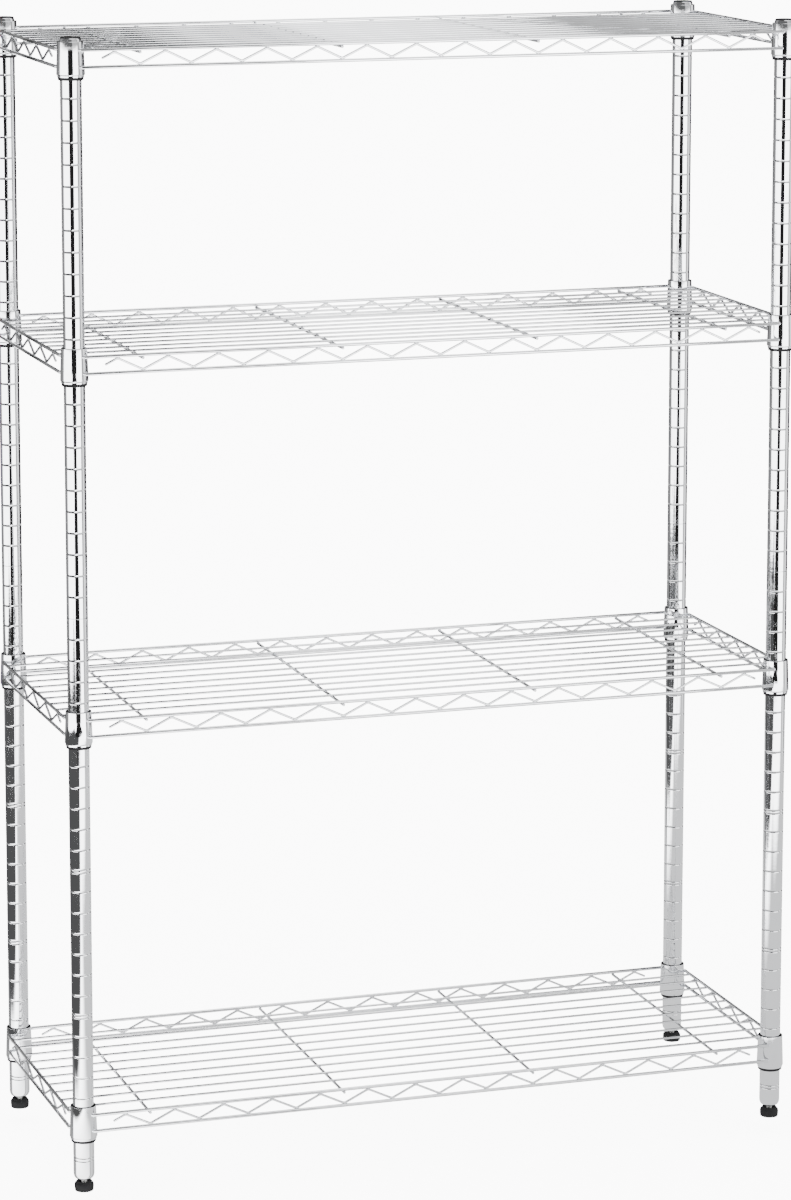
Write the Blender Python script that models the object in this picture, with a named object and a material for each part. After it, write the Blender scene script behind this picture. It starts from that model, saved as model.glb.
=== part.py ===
"""Four-tier wire shelving rack: tube posts, split sleeve clips, welded wire shelves, levelling feet.

Frame: the origin is on the floor at the middle of the footprint, +X runs along the length of the
shelves, -Y is the front and +Z is up. Dimensions below are in millimetres; meshes are in metres.
"""

import math

import bmesh
import bpy
from mathutils import Matrix, Vector

MM = 0.001
INCH = 25.4
SIDES = 12
GAP = 0.3

# Footprint and heights. The posts carry a groove every inch, and every shelf sits on a groove.
POST_X = 17.5 * INCH
POST_Y = 6.5 * INCH
LOWEST_COLLAR_TOP = 106.3
SHELF_STEPS = {4: 0, 3: 19, 2: 36, 1: 50}
SHELF_TOPS = {shelf: LOWEST_COLLAR_TOP + steps * INCH for shelf, steps in SHELF_STEPS.items()}
CORNERS = {
    "fl": (-POST_X, -POST_Y),
    "fr": (POST_X, -POST_Y),
    "bl": (-POST_X, POST_Y),
    "br": (POST_X, POST_Y),
}

# Posts: one-inch tube in two lengths, joined by a spigot, with rolled-in ends.
POST_RADIUS = INCH / 2
POST_BORE = 11.4
POST_BOTTOM = 15.6
POST_JOINT = 701.4
POST_OVER_COLLAR = 3.6
POST_TOP = SHELF_TOPS[1] + POST_OVER_COLLAR
POST_ROLL_HEIGHT = 7.5
POST_ROLL_RADIUS = 11.6
POST_ROLL_MIDDLE = 2.2
POST_FOOT_RADIUS = 9.0
POST_MOUTH_RADIUS = 11.2
POST_MOUTH_TAPER = 3.4
POST_MOUTH_WALL = 4.5
SPIGOT_RADIUS = 10.9
SPIGOT_LENGTH = 14.0
SPIGOT_CLOSURE = 3.0
STUD_HOLE = 4.5
STUD_HOLE_LENGTH = 6.0
INSERT_HEIGHT = 9.0

# Collars at the shelf corners: tapered, wider at the bottom, as the clips inside them are.
COLLAR_LENGTH = 41.0
COLLAR_TOP_RADIUS = 15.4
COLLAR_BOTTOM_RADIUS = 16.7
COLLAR_TOP_BORE = 14.5
COLLAR_BOTTOM_BORE = 15.7
COLLAR_TOP_CHAMFER = (0.5, 0.8)
COLLAR_BOTTOM_ROLL = 2.6
COLLAR_EDGE = (0.2, 1.4)

# Clips: two half sleeves round the post in each collar, with a lip that shows below it.
CLIP_BORE = 13.0
CLIP_TOP_RADIUS = 14.15
CLIP_WEDGE_RADIUS = 15.33
CLIP_WEDGE_DEPTH = 38.5
CLIP_LIP_RADIUS = 14.9
CLIP_TOP_DEPTH = 0.2
CLIP_LENGTH = 44.6
CLIP_LIP_CHAMFER = (0.8, 0.9)
CLIP_SEAM = math.degrees(0.6 * GAP / CLIP_BORE)

# Wires of a shelf. Depths are measured down from the top of the collar.
RIM_RADIUS = 2.1
RIM_OFFSET = 15.0
RIM_TOP_DEPTH = 9.5
RIM_BOTTOM_DEPTH = 29.5
RIM_TOP_END = 7.6
RIM_BOTTOM_END = 8.6
ZIGZAG_RADIUS = 1.75
ZIGZAG_PITCH = 2.4 * INCH
ZIGZAG_INSET = 2.45
LONG_SIDE_APEXES = 14
SHORT_SIDE_APEXES = 5
DECK_RADIUS = 1.5
DECK_WIRES = 10
DECK_SPACING = 31.1
CROSS_RADIUS = 2.2
CROSS_PITCHES = (-6, -2, 2, 6)
CROSS_OVERHANG = 1.9
WELD_DEPTH = 0.3
HEX_FLAT = math.cos(math.radians(30))
SQUARE_FLAT = math.cos(math.radians(45))

# Levelling feet: a black pad on a threaded stud.
PAD_RADIUS = 11.8
PAD_HEIGHT = 13.0
PAD_SOCKET = 5.0
PAD_EDGE = (0.8, 1.0)
PAD_SHOULDER_RADIUS = 11.3
PAD_SHOULDER_HEIGHT = 8.5
PAD_NECK_RADIUS = 7.8
STUD_RADIUS = 4.0
STUD_TOP = 46.0
SOCKET_PLAY = 0.4

# Caps that close the tops of the posts.
CAP_RADIUS = 10.9
CAP_PLUG_RADIUS = 9.1
CAP_PLUG_LENGTH = 12.0
CAP_THICKNESS = 1.1
CAP_CHAMFER = 1.2


def clear_scene():
    """Removes every object that the scene starts with."""
    for item in list(bpy.data.objects):
        bpy.data.objects.remove(item, do_unlink=True)


def make_material(name, colour, metallic, roughness):
    """Returns a Principled BSDF material of one plain colour."""
    material = bpy.data.materials.new(name)
    material.use_nodes = True
    shader = material.node_tree.nodes["Principled BSDF"]
    shader.inputs["Base Color"].default_value = (*colour, 1.0)
    shader.inputs["Metallic"].default_value = metallic
    shader.inputs["Roughness"].default_value = roughness
    return material


def finish_mesh(name, mesh_edit, material):
    """Turns a bmesh into a mesh with outward normals and round sides shaded smooth."""
    bmesh.ops.recalc_face_normals(mesh_edit, faces=mesh_edit.faces)
    mesh = bpy.data.meshes.new(name)
    mesh_edit.to_mesh(mesh)
    mesh_edit.free()
    mesh.materials.append(material)
    mesh.shade_smooth()
    mesh.set_sharp_from_angle(angle=math.radians(38))
    return mesh


def place(name, mesh, location, parent=None):
    """Links an object that shows the mesh at a location in millimetres, under an empty if one is given."""
    item = bpy.data.objects.new(name, mesh)
    bpy.context.scene.collection.objects.link(item)
    item.parent = parent
    item.location = Vector(location) * MM
    return item


def make_turned_mesh(name, profile, material, start=0.0, sweep=360.0):
    """Spins a closed (radius, height) section round the Z axis, fully or through a part of a turn."""
    mesh_edit = bmesh.new()
    corners = [mesh_edit.verts.new((radius * MM, 0, height * MM)) for radius, height in profile]
    section = mesh_edit.faces.new(corners)
    bmesh.ops.rotate(mesh_edit, verts=corners, matrix=Matrix.Rotation(math.radians(start), 3, "Z"))
    full = sweep == 360.0
    geometry = list(section.edges) if full else [section]
    bmesh.ops.spin(
        mesh_edit,
        geom=geometry,
        cent=(0, 0, 0),
        axis=(0, 0, 1),
        angle=math.radians(sweep),
        steps=SIDES if full else SIDES // 2,
    )
    if full:
        mesh_edit.faces.remove(section)
    bmesh.ops.remove_doubles(mesh_edit, verts=mesh_edit.verts, dist=0.00001)
    loose = [edge for edge in mesh_edit.edges if not edge.link_faces]
    bmesh.ops.delete(mesh_edit, geom=loose, context="EDGES")
    return finish_mesh(name, mesh_edit, material)


def make_wire(points, radius, sides, turn, plane_normal, material):
    """Runs a polygon along a flat polyline, with mitred corners and closed ends, and returns an object.

    turn is the angle in degrees from the normal of the polyline's plane to the polygon's first corner.
    """
    mesh_edit = bmesh.new()
    path = [Vector(point) for point in points]
    normal = Vector(plane_normal)
    directions = [(after - before).normalized() for before, after in zip(path, path[1:])]
    rings = []
    for index, point in enumerate(path):
        arriving = directions[max(index - 1, 0)]
        leaving = directions[min(index, len(directions) - 1)]
        side = (arriving + leaving).normalized().cross(normal)
        stretch = 1.0 / arriving.cross(normal).dot(side)
        ring = []
        for corner in range(sides):
            angle = math.radians(turn + corner * 360.0 / sides)
            reach = normal * math.cos(angle) + side * (math.sin(angle) * stretch)
            ring.append(mesh_edit.verts.new((point + reach * radius) * MM))
        rings.append(ring)
    for ring, following in zip(rings, rings[1:]):
        for corner in range(sides):
            after = (corner + 1) % sides
            mesh_edit.faces.new((ring[corner], following[corner], following[after], ring[after]))
    mesh_edit.faces.new(rings[0])
    mesh_edit.faces.new(list(reversed(rings[-1])))
    return place("wire", finish_mesh("wire", mesh_edit, material), (0, 0, 0))


def weld_mesh(name, pieces, material):
    """Unites overlapping closed pieces into one closed mesh, as the welds of the real shelf do."""
    body = pieces[0]
    others = bpy.data.collections.new("weld_pieces")
    bpy.context.scene.collection.children.link(others)
    for piece in pieces[1:]:
        others.objects.link(piece)
    union = body.modifiers.new("weld", "BOOLEAN")
    union.operation = "UNION"
    union.solver = "EXACT"
    union.operand_type = "COLLECTION"
    union.collection = others
    bpy.context.view_layer.update()
    evaluated = body.evaluated_get(bpy.context.evaluated_depsgraph_get())
    mesh_edit = bmesh.new()
    mesh_edit.from_mesh(evaluated.to_mesh())
    bmesh.ops.transform(mesh_edit, matrix=body.matrix_world, verts=mesh_edit.verts)
    bmesh.ops.remove_doubles(mesh_edit, verts=mesh_edit.verts, dist=0.000005)
    bmesh.ops.dissolve_limit(
        mesh_edit,
        angle_limit=math.radians(0.5),
        verts=mesh_edit.verts,
        edges=mesh_edit.edges,
    )
    for piece in list(pieces):
        bpy.data.objects.remove(piece, do_unlink=True)
    bpy.data.collections.remove(others)
    return finish_mesh(name, mesh_edit, material)


def make_posts(chrome, plastic):
    """Builds the lower and upper tube of each post and the cap that closes its top."""
    length = POST_JOINT - GAP / 2 - POST_BOTTOM
    lower_mesh = make_turned_mesh(
        "post_lower",
        [
            (POST_RADIUS, length),
            (POST_RADIUS, POST_ROLL_HEIGHT),
            (POST_ROLL_RADIUS, POST_ROLL_MIDDLE),
            (POST_FOOT_RADIUS, 0),
            (STUD_HOLE, 0),
            (STUD_HOLE, STUD_HOLE_LENGTH),
            (POST_BORE, INSERT_HEIGHT),
            (POST_BORE, length),
        ],
        chrome,
    )
    length = POST_TOP - POST_JOINT - GAP / 2
    mouth = CAP_PLUG_RADIUS + SOCKET_PLAY
    upper_mesh = make_turned_mesh(
        "post_upper",
        [
            (POST_RADIUS, 0),
            (POST_RADIUS, length - POST_MOUTH_TAPER),
            (POST_MOUTH_RADIUS, length),
            (mouth, length),
            (POST_BORE, length - POST_MOUTH_WALL),
            (POST_BORE, SPIGOT_CLOSURE),
            (0, SPIGOT_CLOSURE),
            (0, -SPIGOT_LENGTH),
            (SPIGOT_RADIUS, -SPIGOT_LENGTH),
            (SPIGOT_RADIUS, 0),
        ],
        chrome,
    )
    cap_mesh = make_turned_mesh(
        "post_cap",
        [
            (0, CAP_THICKNESS),
            (CAP_RADIUS - CAP_CHAMFER, CAP_THICKNESS),
            (CAP_RADIUS, CAP_THICKNESS / 2),
            (CAP_RADIUS, 0),
            (CAP_PLUG_RADIUS, 0),
            (CAP_PLUG_RADIUS, -CAP_PLUG_LENGTH),
            (0, -CAP_PLUG_LENGTH),
        ],
        plastic,
    )
    for corner, (x, y) in CORNERS.items():
        post = place(f"post_{corner}", None, (x, y, 0))
        place(f"post_lower_{corner}", lower_mesh, (0, 0, POST_BOTTOM), post)
        place(f"post_upper_{corner}", upper_mesh, (0, 0, POST_JOINT + GAP / 2), post)
        place(f"post_cap_{corner}", cap_mesh, (0, 0, POST_TOP + GAP), post)


def make_feet(plastic, steel):
    """Builds the pad and the threaded stud of each levelling foot."""
    socket_floor = PAD_HEIGHT - PAD_SOCKET
    socket_radius = STUD_RADIUS + SOCKET_PLAY
    edge_width, edge_height = PAD_EDGE
    pad_mesh = make_turned_mesh(
        "foot_pad",
        [
            (0, 0),
            (PAD_RADIUS - edge_width, 0),
            (PAD_RADIUS, edge_height),
            (PAD_SHOULDER_RADIUS, PAD_SHOULDER_HEIGHT),
            (PAD_NECK_RADIUS, PAD_HEIGHT),
            (socket_radius, PAD_HEIGHT),
            (socket_radius, socket_floor),
            (0, socket_floor),
        ],
        plastic,
    )
    stud_length = STUD_TOP - socket_floor - GAP
    stud_mesh = make_turned_mesh(
        "foot_stud",
        [(0, 0), (STUD_RADIUS, 0), (STUD_RADIUS, stud_length), (0, stud_length)],
        steel,
    )
    for corner, (x, y) in CORNERS.items():
        foot = place(f"foot_{corner}", None, (x, y, 0))
        place(f"foot_pad_{corner}", pad_mesh, (0, 0, 0), foot)
        place(f"foot_stud_{corner}", stud_mesh, (0, 0, socket_floor + GAP), foot)


def make_clips(plastic):
    """Builds the two half sleeves of the clip at every corner of every shelf."""
    chamfer_width, chamfer_height = CLIP_LIP_CHAMFER
    profile = [
        (CLIP_BORE, -CLIP_TOP_DEPTH),
        (CLIP_BORE, -CLIP_LENGTH),
        (CLIP_LIP_RADIUS - chamfer_width, -CLIP_LENGTH),
        (CLIP_LIP_RADIUS, -CLIP_LENGTH + chamfer_height),
        (CLIP_WEDGE_RADIUS, -CLIP_WEDGE_DEPTH),
        (CLIP_TOP_RADIUS, -CLIP_TOP_DEPTH),
    ]
    half_turn = 180 - 2 * CLIP_SEAM
    back_mesh = make_turned_mesh("clip_back", profile, plastic, CLIP_SEAM, half_turn)
    front_mesh = make_turned_mesh("clip_front", profile, plastic, CLIP_SEAM + 180, half_turn)
    for shelf, top in SHELF_TOPS.items():
        for corner, (x, y) in CORNERS.items():
            place(f"clip_{shelf}_{corner}_back", back_mesh, (x, y, top))
            place(f"clip_{shelf}_{corner}_front", front_mesh, (x, y, top))


def make_collars(chrome):
    """Returns the four collars of a shelf as overlapping pieces for its weld."""
    chamfer_width, chamfer_height = COLLAR_TOP_CHAMFER
    edge_width, edge_height = COLLAR_EDGE
    mesh = make_turned_mesh(
        "collar",
        [
            (COLLAR_TOP_RADIUS - chamfer_width, 0),
            (COLLAR_TOP_RADIUS, -chamfer_height),
            (COLLAR_BOTTOM_RADIUS, -COLLAR_LENGTH + COLLAR_BOTTOM_ROLL),
            (COLLAR_BOTTOM_BORE + edge_width, -COLLAR_LENGTH),
            (COLLAR_BOTTOM_BORE, -COLLAR_LENGTH + edge_height),
            (COLLAR_TOP_BORE, 0),
        ],
        chrome,
    )
    collars = []
    for x, y in CORNERS.values():
        collar = mesh.copy()
        collar.transform(Matrix.Translation(Vector((x, y, 0)) * MM))
        collars.append(place("collar", collar, (0, 0, 0)))
    return collars


def zigzag_points(apexes):
    """Returns (along, height) points of a zigzag that starts and ends at mid-height."""
    high = -RIM_TOP_DEPTH - ZIGZAG_INSET
    low = -RIM_BOTTOM_DEPTH + ZIGZAG_INSET
    half = ZIGZAG_PITCH / 2
    first = -(apexes - 1) * half
    points = [(first - half / 2, (high + low) / 2)]
    for index in range(2 * apexes - 1):
        points.append((first + index * half, high if index % 2 == 0 else low))
    points.append((-first + half / 2, (high + low) / 2))
    return points


def make_side(half_length, offset, apexes, lengthwise, chrome):
    """Returns the two rim wires and the zigzag wire of one side of a shelf as pieces for its weld."""
    normal = (0, 1, 0) if lengthwise else (1, 0, 0)

    def spot(along, height):
        return (along, offset, height) if lengthwise else (offset, along, height)

    pieces = []
    for depth, end in ((RIM_TOP_DEPTH, RIM_TOP_END), (RIM_BOTTOM_DEPTH, RIM_BOTTOM_END)):
        reach = half_length - end
        rim = [spot(-reach, -depth), spot(reach, -depth)]
        pieces.append(make_wire(rim, RIM_RADIUS, 6, 30, normal, chrome))
    zigzag = [spot(along, height) for along, height in zigzag_points(apexes)]
    pieces.append(make_wire(zigzag, ZIGZAG_RADIUS, 4, 45, normal, chrome))
    return pieces


def make_frame_mesh(chrome):
    """Returns the collars, rim wires and zigzag wires of a shelf as one welded mesh."""
    pieces = make_collars(chrome)
    for sign in (-1, 1):
        front = sign * (POST_Y + RIM_OFFSET)
        side = sign * (POST_X + RIM_OFFSET)
        pieces += make_side(POST_X, front, LONG_SIDE_APEXES, True, chrome)
        pieces += make_side(POST_Y, side, SHORT_SIDE_APEXES, False, chrome)
    return weld_mesh("shelf_frame", pieces, chrome)


def make_deck_mesh(chrome):
    """Returns the long deck wires and the cross wires under them as one welded mesh."""
    cross_half = CROSS_RADIUS * SQUARE_FLAT
    deck_half = DECK_RADIUS * HEX_FLAT
    cross_height = -RIM_TOP_DEPTH - RIM_RADIUS - GAP - cross_half
    deck_height = cross_height + cross_half + deck_half - WELD_DEPTH
    cross_reach = POST_Y + RIM_OFFSET + CROSS_OVERHANG
    deck_reach = POST_X + RIM_OFFSET - RIM_RADIUS * HEX_FLAT - GAP
    pieces = []
    for pitches in CROSS_PITCHES:
        x = pitches * ZIGZAG_PITCH
        cross = [(x, -cross_reach, cross_height), (x, cross_reach, cross_height)]
        pieces.append(make_wire(cross, CROSS_RADIUS, 4, 45, (0, 0, 1), chrome))
    for index in range(DECK_WIRES):
        y = (index - (DECK_WIRES - 1) / 2) * DECK_SPACING
        deck = [(-deck_reach, y, deck_height), (deck_reach, y, deck_height)]
        pieces.append(make_wire(deck, DECK_RADIUS, 6, 30, (0, 0, 1), chrome))
    return weld_mesh("shelf_deck", pieces, chrome)


def make_shelves(chrome):
    """Places the frame and the deck of each shelf under an empty that its lift would move."""
    frame_mesh = make_frame_mesh(chrome)
    deck_mesh = make_deck_mesh(chrome)
    for shelf, top in SHELF_TOPS.items():
        lift = place(f"shelf_lift_{shelf}", None, (0, 0, top))
        place(f"shelf_frame_{shelf}", frame_mesh, (0, 0, 0), lift)
        place(f"shelf_deck_{shelf}", deck_mesh, (0, 0, 0), lift)


def main():
    """Builds the whole rack."""
    clear_scene()
    chrome = make_material("chrome", (0.75, 0.76, 0.78), 1.0, 0.1)
    plastic = make_material("black_plastic", (0.02, 0.02, 0.022), 0.0, 0.4)
    steel = make_material("stud_steel", (0.6, 0.6, 0.58), 1.0, 0.3)
    make_posts(chrome, plastic)
    make_feet(plastic, steel)
    make_clips(plastic)
    make_shelves(chrome)


main()
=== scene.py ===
"""Looks of a four-tier chrome wire shelving rack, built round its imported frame.

The frame gives every place: the post axes, shelf heights and foot levels are read from its boxes.
Lengths are in metres unless a name says otherwise. +X runs along the shelves, -Y is the front.
"""

import logging
import math
from collections.abc import Callable, Iterator, Sequence
from dataclasses import dataclass
from enum import Enum

import bmesh
import bpy
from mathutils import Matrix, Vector


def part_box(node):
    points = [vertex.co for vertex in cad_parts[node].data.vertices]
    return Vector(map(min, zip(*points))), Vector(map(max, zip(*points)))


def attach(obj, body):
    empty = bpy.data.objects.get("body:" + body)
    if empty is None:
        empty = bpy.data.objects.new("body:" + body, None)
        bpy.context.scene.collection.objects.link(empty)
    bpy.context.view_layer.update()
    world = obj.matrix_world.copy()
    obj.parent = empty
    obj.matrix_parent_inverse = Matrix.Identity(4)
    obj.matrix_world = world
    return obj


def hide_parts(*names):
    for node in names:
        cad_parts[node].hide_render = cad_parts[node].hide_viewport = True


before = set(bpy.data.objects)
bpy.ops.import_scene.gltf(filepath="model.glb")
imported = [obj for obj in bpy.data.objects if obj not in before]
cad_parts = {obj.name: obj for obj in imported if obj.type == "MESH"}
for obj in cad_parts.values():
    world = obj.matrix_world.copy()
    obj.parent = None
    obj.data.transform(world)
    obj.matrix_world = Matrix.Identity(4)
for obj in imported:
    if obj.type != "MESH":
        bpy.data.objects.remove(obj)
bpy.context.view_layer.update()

LOG = logging.getLogger("wire_rack")
MM = 0.001
INCH = 0.0254
POST_SIDES = 40
WIRE_SIDES = 8
SHELVES = (1, 2, 3, 4)

Spot = tuple[float, float]
Colour = tuple[float, float, float]


class Corner(Enum):
    """A corner of the rack, named as its nodes are."""

    FRONT_LEFT = "fl"
    FRONT_RIGHT = "fr"
    BACK_LEFT = "bl"
    BACK_RIGHT = "br"

    def axis(self) -> Vector:
        """Returns the point on the floor under this corner's post."""
        low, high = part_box(f"post_lower_{self.value}")
        return Vector(((low.x + high.x) / 2, (low.y + high.y) / 2, 0))


class Side(Enum):
    """A side of a shelf: the turn about Z that brings the front side's wires to it."""

    FRONT = 0
    RIGHT = 90
    BACK = 180
    LEFT = 270


class Half(Enum):
    """A half of a split sleeve: the turn about Z of its middle, from the front."""

    FRONT = 0
    BACK = 180


def arc(centre: Spot, radius: float, start: float, end: float, steps: int) -> list[Spot]:
    """Reads points along a round stretch of an outline.

    Args:
        centre: The arc's centre as (radius, height).
        radius: The arc's own radius.
        start: The angle of the first point, in degrees from outward.
        end: The angle of the last point.
        steps: How many chords the arc has.

    Returns:
        The points, steps + 1 of them.
    """
    points = []
    for step in range(steps + 1):
        angle = math.radians(start + (end - start) * step / steps)
        points.append((centre[0] + radius * math.cos(angle), centre[1] + radius * math.sin(angle)))
    return points


def scaled(points: Sequence[Spot]) -> list[Spot]:
    """Returns an outline given in millimetres as one in metres."""
    return [(first * MM, second * MM) for first, second in points]


class Shape:
    """A mesh in the making, from turned bodies, wires and weld beads, with a weld mask on its points."""

    def __init__(self) -> None:
        """Starts with nothing."""
        self.mesh_edit = bmesh.new()
        self.weld = self.mesh_edit.verts.layers.float.new("weld")

    def turn(
        self,
        section: Sequence[Spot],
        sides: int = POST_SIDES,
        start: float = 0.0,
        sweep: float = 360.0,
        worked: Callable[[float, float, float], float] | None = None,
    ) -> None:
        """Turns a closed (radius, height) section about the Z axis.

        Args:
            section: The outline's points in order; points on the axis have a radius of 0.
            sides: How many steps the turn has.
            start: Where the turn starts, in degrees from +X.
            sweep: How far it goes, in degrees; 360 closes it on itself.
            worked: Gives a point's final radius from its radius, height and angle in degrees.
        """
        whole = sweep == 360.0
        count = sides if whole else sides + 1
        rings = []
        for radius, height in section:
            if radius == 0.0:
                rings.append([self.mesh_edit.verts.new((0, 0, height))])
                continue
            ring = []
            for step in range(count):
                degrees = start + sweep * step / sides
                reach = worked(radius, height, degrees) if worked else radius
                angle = math.radians(degrees)
                spot = (reach * math.cos(angle), reach * math.sin(angle), height)
                ring.append(self.mesh_edit.verts.new(spot))
            rings.append(ring)
        for ring, following in zip(rings, rings[1:] + rings[:1]):
            self.skin(ring, following, sides, whole)
        if not whole:
            self.mesh_edit.faces.new([ring[0] for ring in rings])
            self.mesh_edit.faces.new([ring[-1] for ring in reversed(rings)])

    def skin(self, ring: list, following: list, sides: int, whole: bool) -> None:
        """Fills between two rings of points, either of which may be a single point on the axis."""
        if len(ring) == 1 and len(following) == 1:
            return
        for step in range(sides):
            after = (step + 1) % sides if whole else step + 1
            if len(ring) == 1:
                corners = (ring[0], following[step], following[after])
            elif len(following) == 1:
                corners = (ring[step], following[0], ring[after])
            else:
                corners = (ring[step], following[step], following[after], ring[after])
            self.mesh_edit.faces.new(corners)

    def wire(self, path: Sequence[Vector], radius: float, normal: Vector, bulge: float = 0.6) -> None:
        """Runs a round wire with domed ends along a flat path.

        Args:
            path: The centreline's points; the domes end at its first and last point.
            radius: The wire's radius.
            normal: The normal of the plane that the path lies in.
            bulge: How far each end domes out, as a share of the radius.
        """
        points = [Vector(point) for point in path]
        first = (points[1] - points[0]).normalized()
        last = (points[-1] - points[-2]).normalized()
        dome = radius * bulge
        points[0] += first * dome
        points[-1] -= last * dome
        heads = [(along - before).normalized() for before, along in zip(points, points[1:])]
        shoulder = math.sqrt(0.5)
        rings = [[self.mesh_edit.verts.new(points[0] - first * dome)]]
        rings.append(self.wire_ring(points[0] - first * dome * shoulder, first, normal, radius * shoulder))
        for index, point in enumerate(points):
            arriving = heads[max(index - 1, 0)]
            leaving = heads[min(index, len(heads) - 1)]
            rings.append(self.wire_ring(point, (arriving + leaving).normalized(), normal, radius))
        rings.append(self.wire_ring(points[-1] + last * dome * shoulder, last, normal, radius * shoulder))
        rings.append([self.mesh_edit.verts.new(points[-1] + last * dome)])
        for ring, following in zip(rings, rings[1:]):
            self.skin(ring, following, WIRE_SIDES, True)

    def wire_ring(self, centre: Vector, head: Vector, normal: Vector, radius: float) -> list:
        """Returns a ring of points round a wire's centreline, square to its heading."""
        side = head.cross(normal)
        ring = []
        for step in range(WIRE_SIDES):
            angle = math.tau * (step + 0.5) / WIRE_SIDES
            reach = normal * math.cos(angle) + side * math.sin(angle)
            ring.append(self.mesh_edit.verts.new(centre + reach * radius))
        return ring

    def bead(self, centre: Vector, radii: Vector, lumps: float = 0.09) -> None:
        """Adds a weld bead: a lumpy oval blob that bridges the wires that meet at a point.

        Args:
            centre: The middle of the bead.
            radii: Its half lengths along X, Y and Z.
            lumps: How uneven it is, as a share of its size.
        """
        rows = 5
        phase = 37.0 * centre.x + 91.0 * centre.y + 53.0 * centre.z
        rings = []
        for row in range(rows + 1):
            tilt = math.pi * row / rows
            reach = math.sin(tilt)
            ring = []
            for step in range(WIRE_SIDES if 0 < row < rows else 1):
                angle = math.tau * step / WIRE_SIDES
                swell = 1.0 + lumps * math.sin(3.0 * angle + 2.0 * tilt + 100.0 * phase)
                spot = Vector((reach * math.cos(angle), reach * math.sin(angle), math.cos(tilt)))
                vert = self.mesh_edit.verts.new(centre + spot * radii * swell)
                vert[self.weld] = 1.0
                ring.append(vert)
            rings.append(ring)
        for ring, following in zip(rings, rings[1:]):
            self.skin(ring, following, WIRE_SIDES, True)

    def finish(self, name: str, material: bpy.types.Material, sharp: float = 40.0) -> bpy.types.Mesh:
        """Closes the work: faces point out, round sides shade smoothly, and the material goes on.

        Args:
            name: The mesh's name.
            material: What it is dressed in.
            sharp: Edges bent by more than this many degrees stay crisp.

        Returns:
            The finished mesh.
        """
        bmesh.ops.recalc_face_normals(self.mesh_edit, faces=self.mesh_edit.faces)
        mesh = bpy.data.meshes.new(name)
        self.mesh_edit.to_mesh(mesh)
        self.mesh_edit.free()
        mesh.materials.append(material)
        mesh.shade_smooth()
        mesh.set_sharp_from_angle(angle=math.radians(sharp))
        return mesh


def place(
    name: str,
    mesh: bpy.types.Mesh,
    spot: Vector,
    body: str,
    nodes: Sequence[str],
    slot: str,
    turn: float = 0.0,
) -> bpy.types.Object:
    """Puts a piece in its place in the frame, in place of the nodes that it stands for.

    Args:
        name: The piece's name.
        mesh: Its mesh, which it may share with its like.
        spot: Where the mesh's origin goes.
        body: The body that it rides on.
        nodes: The nodes that it stands for.
        slot: The record's material slot of its finish; not used.
        turn: Its turn about Z, in degrees.

    Returns:
        The piece.
    """
    piece = bpy.data.objects.new(name, mesh)
    bpy.context.scene.collection.objects.link(piece)
    piece.location = spot
    piece.rotation_euler.z = math.radians(turn)
    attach(piece, body)
    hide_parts(*nodes)
    LOG.info("%s on %s: %d faces", name, body, len(mesh.polygons))
    return piece


class NodeSheet:
    """A node tree with short ways to add and link its nodes."""

    def __init__(self, tree: bpy.types.NodeTree) -> None:
        """Works on the given tree."""
        self.tree = tree

    def add(self, kind: str, values: dict | None = None, **settings: object) -> bpy.types.Node:
        """Adds a node.

        Args:
            kind: The node's type without its ShaderNode prefix.
            values: What its input sockets hold or are linked from, by name or index.
            **settings: The node's own properties.

        Returns:
            The node.
        """
        node = self.tree.nodes.new(f"ShaderNode{kind}")
        for key, value in settings.items():
            setattr(node, key, value)
        for key, value in (values or {}).items():
            socket = node.inputs[key]
            if isinstance(value, bpy.types.NodeSocket):
                self.tree.links.new(value, socket)
            else:
                socket.default_value = value
        return node

    def maths(self, operation: str, first: object, second: object = 0.0) -> bpy.types.NodeSocket:
        """Returns the result of a Math node on two numbers or sockets."""
        return self.add("Math", {0: first, 1: second}, operation=operation).outputs[0]

    def blend(self, share: object, first: Colour, second: Colour) -> bpy.types.NodeSocket:
        """Returns a colour that goes from first to second as share goes from 0 to 1."""
        values = {0: share, 6: (*first, 1.0), 7: (*second, 1.0)}
        return self.add("Mix", values, data_type="RGBA").outputs[2]

    def span(self, share: object, low: float, high: float) -> bpy.types.NodeSocket:
        """Returns a number that goes from low to high as share goes from 0 to 1."""
        return self.add("MapRange", {0: share, 3: low, 4: high}).outputs[0]


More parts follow.
